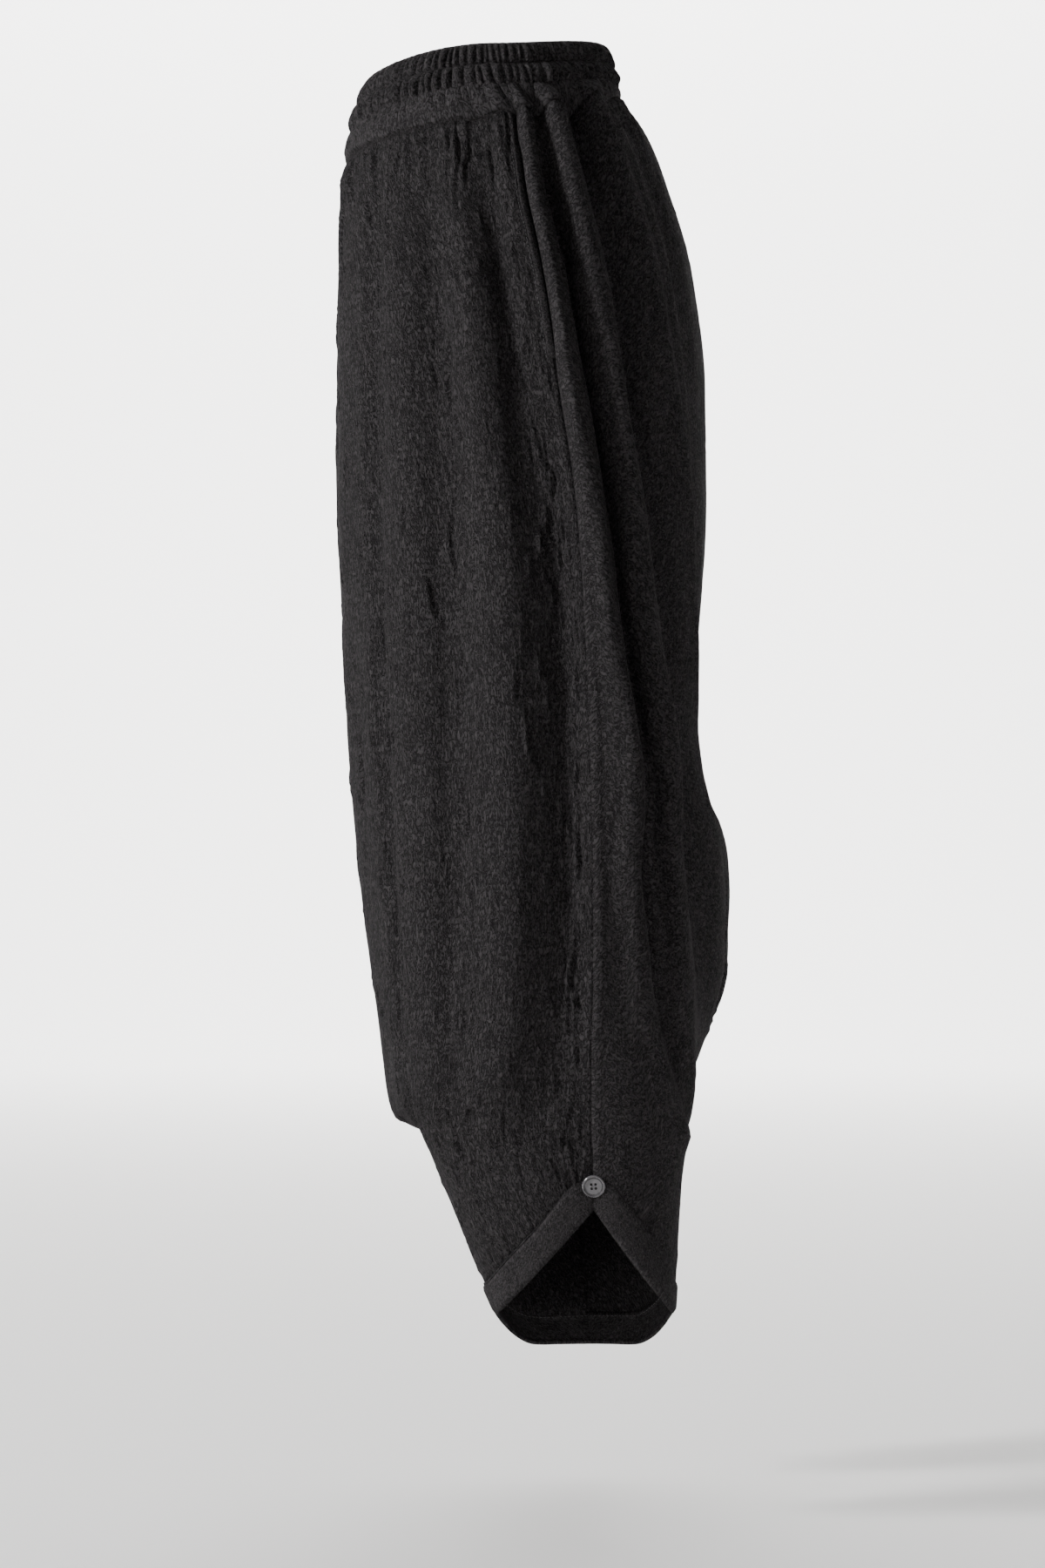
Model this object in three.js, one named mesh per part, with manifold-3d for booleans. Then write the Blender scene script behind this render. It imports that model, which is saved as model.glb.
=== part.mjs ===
// Harem trousers, worn: a wide sack with its crotch low between the ankles, gathered into
// a seamed yoke and a two-channel elastic waistband, with hems drawn up at the side by a button.
// Millimetres. +Z is up, +X is the wearer's left and -Y the wearer's front.
// The origin is the middle of the waistband, where the wearer's waist holds the trousers.
import * as THREE from 'three';
import { mergeVertices } from 'three/addons/utils/BufferGeometryUtils.js';
import Module from 'manifold-3d';

const wasm = await Module();
wasm.setup();

// Cloth and seams
const clothWall = 2;
const seamGap = 0.3;
const roundness = 0.62; // share of a quarter's width that its curve runs straight out from the centre seam

const seamBlend = 0.12; // share of a panel over which it turns to face as its neighbour does at the seam

// Mesh density
const panelColumns = 21; // across one panel, centre seam to side seam
const sackRows = 22; // from the yoke seam to the crotch
const legRows = 6; // from the crotch to the hem
const ringColumns = 168; // around the waist, a whole number of them to a panel's column
const crowding = 0.3; // how much closer the sack's rows grow towards the crotch

// The pattern's place along each leg: 0 at the yoke seam, 1 at the hem
const crotchV = 0.93;
const hemWidth = 22;
const hemInside = 2.4; // the two-layer hem's depth on either side of the panel's outer face
const hemOutside = 0.6;
const hemShoulder = 0.26; // share of the hem's climb that it has made at the leg's front and back

// Pocket mouth in the side seam, by the panel's rows
const pocketFirstRow = 1;
const pocketLastRow = 5;
const pocketEdgeWidth = 6;
const pocketEdgeHeight = 1.5;

// Button at the foot of each side seam
const buttonDiameter = 18;
const buttonThickness = 3;
const buttonHole = 1.8;
const buttonHoleReach = 1.7;
const buttonV = 0.981;
const buttonShank = 1.3; // the thread between the hem and the button

// Gathers of the elastic
const gatherHeight = 0.9;
const gatherUnevenness = 2.3; // radians from one gather to the next of the wave that varies them
const seamReach = 14; // how far from a seam a fold has its full height
const seamLift = 0.6; // how far a fold's top pulls the yoke's seam up, as a share of its height
const liftEnd = 0.08; // v where that pull has died away

// Horizontal sections of one half of the trousers, from the yoke seam down to the hem.
// front and back are the centre seams, which run together as the inseam below the crotch,
// legFront and legBack how far forward and back the leg reaches, and turn the angle in degrees
// by which the section leaves the centre seam, 0 straight out sideways and 90 along the leg.
const sections = [
  { v: 0.00, frontY: -108, frontZ: -60, legFront: -71, sideX: 157, sideY: 27, sideZ: -40,
    legBack: 83, backY: 107, backZ: -9, innerX: 0, turn: 0 },
  { v: 0.04, frontY: -113, frontZ: -73, legFront: -75, sideX: 170, sideY: 29, sideZ: -66,
    legBack: 97, backY: 126, backZ: -33, innerX: 0, turn: 0 },
  { v: 0.10, frontY: -115, frontZ: -99, legFront: -77, sideX: 184, sideY: 33, sideZ: -102,
    legBack: 112, backY: 147, backZ: -83, innerX: 0, turn: 0 },
  { v: 0.18, frontY: -116, frontZ: -160, legFront: -77, sideX: 205, sideY: 46, sideZ: -166,
    legBack: 128, backY: 167, backZ: -155, innerX: 0, turn: 0 },
  { v: 0.28, frontY: -117, frontZ: -240, legFront: -75, sideX: 224, sideY: 58, sideZ: -247,
    legBack: 137, backY: 176, backZ: -238, innerX: 0, turn: 0 },
  { v: 0.40, frontY: -117, frontZ: -335, legFront: -72, sideX: 238, sideY: 73, sideZ: -350,
    legBack: 144, backY: 177, backZ: -335, innerX: 0, turn: 0 },
  { v: 0.52, frontY: -112, frontZ: -435, legFront: -69, sideX: 244, sideY: 80, sideZ: -450,
    legBack: 147, backY: 171, backZ: -430, innerX: 0, turn: 0 },
  { v: 0.62, frontY: -107, frontZ: -535, legFront: -66, sideX: 247, sideY: 84, sideZ: -545,
    legBack: 151, backY: 161, backZ: -515, innerX: 0, turn: 0 },
  { v: 0.72, frontY: -96, frontZ: -640, legFront: -62, sideX: 245, sideY: 86, sideZ: -640,
    legBack: 156, backY: 196, backZ: -625, innerX: 0, turn: 0 },
  { v: 0.80, frontY: -83, frontZ: -730, legFront: -58, sideX: 238, sideY: 86, sideZ: -715,
    legBack: 158, backY: 193, backZ: -706, innerX: 0, turn: 0 },
  { v: 0.84, frontY: -67, frontZ: -820, legFront: -54, sideX: 231, sideY: 85, sideZ: -757,
    legBack: 158, backY: 172, backZ: -760, innerX: 0, turn: 2 },
  { v: 0.87, frontY: -48, frontZ: -829, legFront: -51, sideX: 224, sideY: 85, sideZ: -782,
    legBack: 159, backY: 148, backZ: -793, innerX: 0, turn: 8 },
  { v: 0.90, frontY: -8, frontZ: -836, legFront: -49, sideX: 218, sideY: 85, sideZ: -800,
    legBack: 159, backY: 106, backZ: -822, innerX: 0, turn: 30 },
  { v: 0.93, frontY: 50, frontZ: -842, legFront: -45, sideX: 214, sideY: 85, sideZ: -818,
    legBack: 157, backY: 50, backZ: -842, innerX: 0, turn: 62 },
  { v: 0.965, frontY: 74, frontZ: -918, legFront: -19, sideX: 207, sideY: 86, sideZ: -850,
    legBack: 152, backY: 74, backZ: -918, innerX: 48, turn: 86 },
  { v: 1.00, frontY: 84, frontZ: -995, legFront: 12, sideX: 200, sideY: 86, sideZ: -879,
    legBack: 147, backY: 84, backZ: -995, innerX: 88, turn: 90 },
];

// The waistband's three stitched lines, top edge, middle and bottom edge
const waistLines = {
  top: { v: 0, frontY: -96, frontZ: 4, legFront: -62, sideX: 143, sideY: 10, sideZ: 17,
    legBack: 72, backY: 103, backZ: 31, innerX: 0, turn: 0 },
  middle: { v: 0, frontY: -103, frontZ: -16, legFront: -68, sideX: 150, sideY: 12, sideZ: 0,
    legBack: 76, backY: 105, backZ: 15, innerX: 0, turn: 0 },
  bottom: { v: 0, frontY: -106, frontZ: -39, legFront: -70, sideX: 155, sideY: 16, sideZ: -18,
    legBack: 79, backY: 106, backZ: 0, innerX: 0, turn: 0 },
};

// The waistband's cross-section, two puffed channels with a stitched groove between them.
// along is 0 at its bottom edge and 1 at its top, out is off the stitched lines, and gather
// the share of the elastic's gathers that shows there. The inside is plain.
const bandProfile = [
  { along: 0.00, out: -1.6, gather: 0.5 },
  { along: 0.11, out: 0.0, gather: 1.0 },
  { along: 0.38, out: 0.0, gather: 1.0 },
  { along: 0.50, out: -1.8, gather: 0.3 },
  { along: 0.61, out: -0.1, gather: 1.0 },
  { along: 0.88, out: -0.1, gather: 1.0 },
  { along: 1.00, out: -1.6, gather: 0.6 },
  { along: 1.00, out: -4.2, gather: 0.0 },
  { along: 0.50, out: -4.4, gather: 0.0 },
  { along: 0.00, out: -4.2, gather: 0.0 },
];

// The yoke's cross-section, from the panels' seam, along 0, up to the waistband, along 1.
const yokeProfile = [
  { along: 0.00, out: 0.0, gather: 0.0 },
  { along: 0.55, out: -0.3, gather: 0.5 },
  { along: 1.00, out: -1.4, gather: 0.7 },
  { along: 1.00, out: -3.6, gather: 0.0 },
  { along: 0.00, out: -2.0, gather: 0.0 },
];

// The largest folds. s is a fold's place across its panel, 0 at the centre seam and 1 at the side
// seam, at its top, half way down and at its bottom. height is how far it stands out of the cloth,
// less than 0 for a trough, and width how far to each side it spreads, both in millimetres.
const folds = [
  { part: 'front', vTop: -0.05, vBottom: 1.00, sTop: 0.24, sMiddle: 0.22, sBottom: 0.20, height: 4, width: 26 },
  { part: 'front', vTop: -0.05, vBottom: 0.98, sTop: 0.46, sMiddle: 0.44, sBottom: 0.42, height: -8, width: 13 },
  { part: 'front', vTop: -0.06, vBottom: 0.98, sTop: 0.68, sMiddle: 0.69, sBottom: 0.67, height: -12, width: 21 },
  { part: 'front', vTop: 0.05, vBottom: 1.00, sTop: 0.79, sMiddle: 0.84, sBottom: 0.83, height: 9, width: 20 },
  { part: 'front', vTop: -0.10, vBottom: 0.98, sTop: 0.86, sMiddle: 0.94, sBottom: 0.93, height: -11, width: 14 },
  { part: 'front', vTop: -0.30, vBottom: 0.50, sTop: 0.94, sMiddle: 0.95, sBottom: 0.95, height: 4, width: 14 },
  { part: 'back', vTop: -0.30, vBottom: 1.00, sTop: 0.95, sMiddle: 0.93, sBottom: 0.66, height: 12, width: 17 },
  { part: 'back', vTop: -0.20, vBottom: 1.00, sTop: 0.84, sMiddle: 0.83, sBottom: 0.52, height: -16, width: 14 },
  { part: 'back', vTop: -0.30, vBottom: 1.00, sTop: 0.72, sMiddle: 0.76, sBottom: 0.38, height: 12, width: 17 },
  { part: 'back', vTop: -0.20, vBottom: 0.92, sTop: 0.60, sMiddle: 0.62, sBottom: 0.27, height: -15, width: 18 },
  { part: 'back', vTop: -0.25, vBottom: 0.92, sTop: 0.50, sMiddle: 0.42, sBottom: 0.16, height: 8, width: 22 },
  { part: 'back', vTop: -0.15, vBottom: 0.90, sTop: 0.34, sMiddle: 0.26, sBottom: 0.10, height: -8, width: 20 },
];

const lerp = THREE.MathUtils.lerp;
const smoothstep = THREE.MathUtils.smoothstep;

// One column of a table of sections as a smooth curve over v that never overshoots its rows.
function smoothColumn(table, column, v) {
  const last = table.length - 1;
  const place = THREE.MathUtils.clamp(v, table[0].v, table[last].v);
  const slopes = [];
  for (let k = 0; k < last; k += 1) {
    slopes.push((table[k + 1][column] - table[k][column]) / (table[k + 1].v - table[k].v));
  }
  const tangent = (k) => {
    if (k === 0) return slopes[0];
    if (k === last) return slopes[last - 1];
    const [before, after] = [slopes[k - 1], slopes[k]];
    return before * after > 0 ? (2 * before * after) / (before + after) : 0;
  };
  let k = 0;
  while (k < last - 1 && place > table[k + 1].v) k += 1;
  const span = table[k + 1].v - table[k].v;
  const t = (place - table[k].v) / span;
  const [from, to] = [table[k][column], table[k + 1][column]];
  const ease = t * t * (3 - 2 * t);
  const bend = span * t * (1 - t) * ((1 - t) * tangent(k) - t * tangent(k + 1));
  return lerp(from, to, ease) + bend;
}

function sectionAt(v) {
  const section = {};
  for (const column of Object.keys(sections[0])) {
    section[column] = column === 'v' ? v : smoothColumn(sections, column, v);
  }
  if (v > crotchV) {
    section.backY = section.frontY;
    section.backZ = section.frontZ;
  }
  return section;
}

// A point of a section's front or back curve, from the centre seam, s = 0, to the side seam, s = 1.
function curvePoint(section, part, s) {
  const isFront = part === 'front';
  const along = isFront ? -1 : 1;
  const centreY = isFront ? section.frontY : section.backY;
  const centreZ = isFront ? section.frontZ : section.backZ;
  const legY = isFront ? section.legFront : section.legBack;
  const turn = THREE.MathUtils.degToRad(section.turn);
  // A cubic curve with these reaches at its two ends passes legY half way along.
  const reaches = (along * (legY - (centreY + section.sideY) / 2)) / 0.375;
  const straight = roundness * (section.sideX - section.innerX);
  const centreReach = lerp(straight, reaches / 2, Math.sin(turn) ** 2);
  const sideReach = reaches - centreReach * Math.sin(turn);
  const curve = new THREE.CubicBezierCurve(
    new THREE.Vector2(section.innerX, centreY),
    new THREE.Vector2(
      section.innerX + centreReach * Math.cos(turn),
      centreY + along * centreReach * Math.sin(turn),
    ),
    new THREE.Vector2(section.sideX, section.sideY + along * sideReach),
    new THREE.Vector2(section.sideX, section.sideY),
  );
  const flat = curve.getPoint(s);
  // The hem dips round the inner ankle and climbs from the leg's front and back straight to its button.
  const sideShare = THREE.MathUtils.clamp((flat.y - legY) / (section.sideY - legY), 0, 1);
  const hemClimb = s < 0.5 ? hemShoulder * smoothstep(s, 0.15, 0.5) : lerp(hemShoulder, 1, sideShare);
  const climb = lerp(smoothstep(s, 0, 1), hemClimb, smoothstep(section.v, 0.88, 1));
  return new THREE.Vector3(flat.x, flat.y, lerp(centreZ, section.sideZ, climb));
}

function bareFaceNormal(part, s, v) {
  const [stepS, stepV] = [0.01, 0.003];
  const across = curvePoint(sectionAt(v), part, Math.min(1, s + stepS))
    .sub(curvePoint(sectionAt(v), part, Math.max(0, s - stepS)));
  const down = curvePoint(sectionAt(Math.min(1, v + stepV)), part, s)
    .sub(curvePoint(sectionAt(Math.max(0, v - stepV)), part, s));
  const normal = across.cross(down).normalize();
  return part === 'front' ? normal.negate() : normal;
}

// The direction out of the cloth. Two panels share one direction along the seam that joins them.
function clothNormal(part, s, v) {
  const own = bareFaceNormal(part, s, v);
  const seamShare = Math.max(1 - s / seamBlend, 1 - (1 - s) / seamBlend, 0);
  if (seamShare === 0) return own;
  const atSide = s > 0.5;
  const place = atSide ? 1 : 0;
  const seam = bareFaceNormal('front', place, v).add(bareFaceNormal('back', place, v));
  if (!atSide && v < crotchV) seam.copy(bareFaceNormal(part, place, v));
  if (!atSide && v <= crotchV) seam.x = 0;
  return own.lerp(seam.normalize(), smoothstep(seamShare, 0, 1)).normalize();
}

// How far the largest folds lift the cloth at one place. They leave the seams where they are.
function foldHeight(part, s, v, panelWidth) {
  const fromSeam = Math.min(s, 1 - s) * panelWidth;
  let height = 0;
  for (const fold of folds) {
    if (fold.part !== part) continue;
    const down = (v - fold.vTop) / (fold.vBottom - fold.vTop);
    if (down <= 0 || down >= 1) continue;
    const pull = 2 * fold.sMiddle - (fold.sTop + fold.sBottom) / 2;
    const path = lerp(lerp(fold.sTop, pull, down), lerp(pull, fold.sBottom, down), down);
    const away = ((s - path) * panelWidth) / fold.width;
    const fade = Math.min(1, 4 * down, 4 * (1 - down));
    height += fold.height * smoothstep(fade, 0, 1) * Math.exp(-away * away);
  }
  return height * smoothstep(fromSeam, 0, seamReach);
}

function panelWidthAt(part, v) {
  const section = sectionAt(v);
  let width = 0;
  for (let k = 0; k < 8; k += 1) {
    width += curvePoint(section, part, k / 8).distanceTo(curvePoint(section, part, (k + 1) / 8));
  }
  return width;
}

// A place on the left half's cloth: its point, with the folds, and the direction out of it.
function clothPlace(part, s, v) {
  const panelWidth = panelWidthAt(part, v);
  const trim = seamGap / 2 / panelWidth;
  const inside = lerp(trim, 1 - trim, s);
  const normal = clothNormal(part, inside, v);
  const height = foldHeight(part, inside, v, panelWidth);
  const point = curvePoint(sectionAt(v), part, inside).addScaledVector(normal, height);
  point.x += seamGap / 2;
  point.z += seamLift * height * (1 - smoothstep(v, 0, liftEnd));
  return { point, normal };
}

// A closed solid between loops of points. Open ends are closed by pairing a loop's two sides.
function loft(loops, closed) {
  const count = loops[0].length;
  const index = [];
  const quad = (a, b, c, d) => index.push(a, b, c, a, c, d);
  const lastLoop = closed ? loops.length : loops.length - 1;
  for (let j = 0; j < lastLoop; j += 1) {
    const next = (j + 1) % loops.length;
    for (let k = 0; k < count; k += 1) {
      const beside = (k + 1) % count;
      quad(j * count + k, j * count + beside, next * count + beside, next * count + k);
    }
  }
  if (!closed) {
    const end = (loops.length - 1) * count;
    for (let k = 0; k < count / 2 - 1; k += 1) {
      const across = count - 1 - k;
      quad(across, across - 1, k + 1, k);
      quad(end + k, end + k + 1, end + across - 1, end + across);
    }
  }
  const points = loops.flat();
  const geometry = new THREE.BufferGeometry().setFromPoints(points);
  geometry.setIndex(facingOut(points, index));
  geometry.computeVertexNormals();
  return geometry;
}

// Turns every triangle round if together they enclose a negative volume.
function facingOut(points, index) {
  let volume = 0;
  for (let k = 0; k < index.length; k += 3) {
    const [a, b, c] = [points[index[k]], points[index[k + 1]], points[index[k + 2]]];
    volume += a.dot(new THREE.Vector3().crossVectors(b, c));
  }
  return volume > 0 ? index : index.slice().reverse();
}

const mirrored = (points) => points.map((p) => new THREE.Vector3(-p.x, p.y, p.z));

// The hem's fold line, and the line one hem width above it where the hem is stitched.
function hemTopV(part, s) {
  const edge = [];
  for (let k = 0; k <= 24; k += 1) {
    edge.push(curvePoint(sectionAt(1), 'front', k / 24), curvePoint(sectionAt(1), 'back', k / 24));
  }
  let [low, high] = [0.85, 1];
  for (let k = 0; k < 18; k += 1) {
    const middle = (low + high) / 2;
    const point = curvePoint(sectionAt(middle), part, s);
    const distance = Math.min(...edge.map((p) => p.distanceTo(point)));
    if (distance > hemWidth) low = middle;
    else high = middle;
  }
  return high;
}

// Half a seam's gap as a step in v.
function halfGapV(part, s, v) {
  const step = 0.01;
  const here = curvePoint(sectionAt(v), part, s);
  const above = curvePoint(sectionAt(v - step), part, s);
  return ((seamGap / 2) * step) / here.distanceTo(above);
}

// A panel's places, row by row from the yoke seam to the hem's stitched line.
function panelPlaces(part) {
  const rows = [];
  const bottoms = [];
  for (let i = 0; i <= panelColumns; i += 1) {
    const s = i / panelColumns;
    const v = hemTopV(part, s);
    bottoms.push(v - halfGapV(part, s, v));
  }
  for (let j = 0; j <= sackRows + legRows; j += 1) {
    const down = Math.min(1, j / sackRows);
    const sackV = crotchV * down * (1 + crowding - crowding * down);
    const legShare = Math.max(0, (j - sackRows) / legRows);
    rows.push(bottoms.map((bottom, i) => (
      clothPlace(part, i / panelColumns, lerp(sackV, bottom, legShare))
    )));
  }
  return rows;
}

// A wall of cloth on a grid of places, from `inside` to `outside` millimetres off their points.
function clothWallLoops(rows, inside, outside) {
  return rows.map((row) => [
    ...row.map((place) => place.point.clone().addScaledVector(place.normal, outside)),
    ...row.map((place) => place.point.clone().addScaledVector(place.normal, inside)).reverse(),
  ]);
}

// The turned-up hem is two layers of cloth, so it is a thicker band than the panel above it.
function hemBand(part) {
  const rows = [[], [], []];
  for (let i = 0; i <= panelColumns; i += 1) {
    const s = i / panelColumns;
    const top = hemTopV(part, s);
    const start = top + halfGapV(part, s, top);
    rows.forEach((row, j) => row.push(clothPlace(part, s, lerp(start, 1, j / (rows.length - 1)))));
  }
  return clothWallLoops(rows, -hemInside, hemOutside);
}

// The pocket mouth is the front panel's own edge, turned under and stitched: a raised narrow strip.
function pocketEdge(rows) {
  const seam = panelColumns;
  const strip = rows.slice(pocketFirstRow, pocketLastRow + 1).map((row) => {
    const [near, edge] = [row[seam - 1], row[seam]];
    const share = pocketEdgeWidth / near.point.distanceTo(edge.point);
    const inner = {
      point: edge.point.clone().lerp(near.point, share),
      normal: edge.normal.clone().lerp(near.normal, share).normalize(),
    };
    return [inner, edge];
  });
  return clothWallLoops(strip, 2 * seamGap, pocketEdgeHeight);
}

// One place after another round the waist: left front, left back, right back and right front.
function roundTheWaist() {
  const quarter = ringColumns / 4;
  const places = [];
  for (let k = 0; k < ringColumns; k += 1) {
    const turn = Math.floor(k / quarter);
    const share = (k % quarter) / quarter;
    const outward = turn === 0 || turn === 2;
    places.push({
      part: turn === 0 || turn === 3 ? 'front' : 'back',
      s: outward ? share : 1 - share,
      mirror: turn < 2 ? 1 : -1,
      gather: (k % 2 === 0 ? 1 : -1) * (0.7 + 0.3 * Math.sin(gatherUnevenness * k)),
    });
  }
  return places;
}

// A point on a level line round the waist, and the level direction out of it.
function linePlace(line, part, s) {
  const step = 0.01;
  const ahead = curvePoint(line, part, Math.min(1, s + step));
  const along = ahead.sub(curvePoint(line, part, Math.max(0, s - step)));
  const out = new THREE.Vector3(along.y, -along.x, 0).normalize();
  if (part === 'back') out.negate();
  return { point: curvePoint(line, part, s), normal: out };
}

function waistbandLoops() {
  return roundTheWaist().map(({ part, s, mirror, gather }) => bandProfile.map((row) => {
    const upper = row.along > 0.5;
    const [from, to] = upper ? ['middle', 'top'] : ['bottom', 'middle'];
    const share = upper ? 2 * row.along - 1 : 2 * row.along;
    const low = linePlace(waistLines[from], part, s);
    const high = linePlace(waistLines[to], part, s);
    const point = low.point.lerp(high.point, share);
    point.addScaledVector(low.normal, row.out + row.gather * gatherHeight * gather);
    point.z += row.along === 0 ? seamGap / 2 : 0;
    point.x *= mirror;
    return point;
  }));
}

// A place on the panels' top edge, which runs straight from one of their columns to the next.
function seamPlace(part, s) {
  const column = Math.min(Math.floor(s * panelColumns), panelColumns - 1);
  const from = clothPlace(part, column / panelColumns, 0);
  const to = clothPlace(part, (column + 1) / panelColumns, 0);
  const share = s * panelColumns - column;
  return { point: from.point.lerp(to.point, share), normal: from.normal.lerp(to.normal, share).normalize() };
}

function yokeLoops() {
  return roundTheWaist().map(({ part, s, mirror, gather }) => yokeProfile.map((row) => {
    const low = seamPlace(part, s);
    if (s === 0) low.point.x = 0;
    const high = linePlace(waistLines.bottom, part, s);
    const point = low.point.clone().lerp(high.point, row.along);
    const normal = low.normal.lerp(high.normal, row.along).normalize();
    point.addScaledVector(normal, row.out + row.gather * gatherHeight * gather);
    point.z += lerp(seamGap, -seamGap / 2, row.along);
    point.x *= mirror;
    return point;
  }));
}

// A four-hole button with a raised rim, its back on the plane z = 0.
function buttonGeometry() {
  const r = buttonDiameter / 2;
  const profile = [
    [0, 0], [r - 0.8, 0], [r, 0.8], [r, buttonThickness - 0.6], [r - 0.6, buttonThickness],
    [r - 1.6, buttonThickness], [r - 2.4, buttonThickness - 0.8], [0, buttonThickness - 0.8],
  ].map(([x, y]) => new THREE.Vector2(x, y));
  let button = solidOf(new THREE.LatheGeometry(profile, 28).rotateX(Math.PI / 2));
  for (const x of [-1, 1]) {
    for (const y of [-1, 1]) {
      const hole = new THREE.CylinderGeometry(buttonHole / 2, buttonHole / 2, 3 * buttonThickness, 8)
        .rotateX(Math.PI / 2)
        .translate(x * buttonHoleReach, y * buttonHoleReach, 0);
      button = button.subtract(solidOf(hole));
    }
  }
  const mesh = button.getMesh();
  const geometry = new THREE.BufferGeometry();
  geometry.setAttribute('position', new THREE.BufferAttribute(new Float32Array(mesh.vertProperties), 3));
  geometry.setIndex([...mesh.triVerts]);
  geometry.computeVertexNormals();
  return geometry;
}

function solidOf(geometry) {
  geometry.deleteAttribute('normal');
  geometry.deleteAttribute('uv');
  const merged = mergeVertices(geometry);
  return new wasm.Manifold(new wasm.Mesh({
    numProp: 3,
    vertProperties: new Float32Array(merged.attributes.position.array),
    triVerts: new Uint32Array(merged.index.array),
  }));
}

const trousers = new THREE.Group();

function addPiece(name, geometry, material) {
  const piece = new THREE.Mesh(geometry, material);
  piece.name = name;
  trousers.add(piece);
  return piece;
}

const cloth = new THREE.MeshStandardMaterial({ color: 0x343334, roughness: 0.95, metalness: 0 });
const horn = new THREE.MeshStandardMaterial({ color: 0x5a595b, roughness: 0.35, metalness: 0 });

addPiece('waistband', loft(waistbandLoops(), true), cloth.clone());
addPiece('yoke', loft(yokeLoops(), true), cloth.clone());

const panels = { front: panelPlaces('front'), back: panelPlaces('back') };
const sewnLoops = {
  front: clothWallLoops(panels.front, -clothWall, 0),
  back: clothWallLoops(panels.back, -clothWall, 0),
  hem_front: hemBand('front'),
  hem_back: hemBand('back'),
  pocket_edge: pocketEdge(panels.front),
};
for (const [name, loops] of Object.entries(sewnLoops)) {
  addPiece(`${name}_left`, loft(loops, false), cloth.clone());
  addPiece(`${name}_right`, loft(loops.map(mirrored), false), cloth.clone());
}

const seat = clothPlace('front', 1, buttonV);
for (const [side, mirror] of [['left', 1], ['right', -1]]) {
  const button = addPiece(`button_${side}`, buttonGeometry(), horn);
  const out = new THREE.Vector3(mirror * seat.normal.x, seat.normal.y, seat.normal.z);
  const middle = new THREE.Vector3(mirror * seat.point.x, seat.point.y, seat.point.z);
  button.quaternion.setFromUnitVectors(new THREE.Vector3(0, 0, 1), out);
  button.position.copy(middle).addScaledVector(out, hemOutside + buttonShank);
}

export default trousers;
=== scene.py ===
# Harem trousers as worn: the cloth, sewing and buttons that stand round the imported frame.
# Blender units are metres, +Z is up, +X the wearer's left and -Y the wearer's front.
import math
import random
from types import SimpleNamespace as Values

import bmesh
import bpy
import numpy as np
from mathutils import Matrix, Vector, noise


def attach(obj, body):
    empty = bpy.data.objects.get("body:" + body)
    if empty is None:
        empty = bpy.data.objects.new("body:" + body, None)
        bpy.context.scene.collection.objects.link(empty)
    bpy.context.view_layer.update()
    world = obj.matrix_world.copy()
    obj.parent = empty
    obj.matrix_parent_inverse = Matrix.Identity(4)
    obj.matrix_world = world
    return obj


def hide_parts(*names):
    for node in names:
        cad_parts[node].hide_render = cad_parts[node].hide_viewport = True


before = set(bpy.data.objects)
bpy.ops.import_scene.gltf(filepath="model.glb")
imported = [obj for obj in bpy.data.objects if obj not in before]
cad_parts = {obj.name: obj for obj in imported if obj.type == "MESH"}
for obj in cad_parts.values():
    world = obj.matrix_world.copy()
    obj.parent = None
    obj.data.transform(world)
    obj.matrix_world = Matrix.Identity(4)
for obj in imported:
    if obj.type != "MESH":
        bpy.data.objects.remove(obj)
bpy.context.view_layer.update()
mm = 0.001
print("frame loaded")


# The camera stands level at the wearer's left, square to the side seam.
cameraPlace = Values(distance=4.0, aimY=0.0315, aimZ=-0.5579, lens=114.3, sensor=36)


def placed(name, data):
    piece = bpy.data.objects.new(name, data)
    bpy.context.scene.collection.objects.link(piece)
    return piece


def makeCamera():
    lens = bpy.data.cameras.new("sideCamera")
    lens.lens = cameraPlace.lens
    lens.sensor_width = cameraPlace.sensor
    eye = placed("sideCamera", lens)
    eye.location = (cameraPlace.distance, cameraPlace.aimY, cameraPlace.aimZ)
    eye.rotation_euler = (math.radians(90), 0, math.radians(90))
    bpy.context.scene.camera = eye


makeCamera()


# Materials

def linearColour(hexColour):
    channels = [int(hexColour[k:k + 2], 16) / 255 for k in (0, 2, 4)]
    return [c / 12.92 if c <= 0.04045 else ((c + 0.055) / 1.055) ** 2.4 for c in channels] + [1]


def addNode(tree, kind, inputs, **settings):
    # A new node with its inputs linked or set. Its outputs come back.
    node = tree.nodes.new("ShaderNode" + kind)
    for key, value in settings.items():
        setattr(node, key, value)
    for key, value in inputs.items():
        if isinstance(value, bpy.types.NodeSocket):
            tree.links.new(value, node.inputs[key])
        else:
            node.inputs[key].default_value = value
    return node.outputs


def newMaterial(name):
    material = bpy.data.materials.new(name)
    material.use_nodes = True
    material.node_tree.nodes.clear()
    return material, material.node_tree


def mixed(tree, factor, first, second):
    colours = {0: factor, 6: linearColour(first), 7: linearColour(second)}
    return addNode(tree, "Mix", colours, data_type="RGBA")[2]


def finishMaterial(tree, inputs):
    addNode(tree, "OutputMaterial", {"Surface": addNode(tree, "BsdfPrincipled", inputs)[0]})


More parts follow.
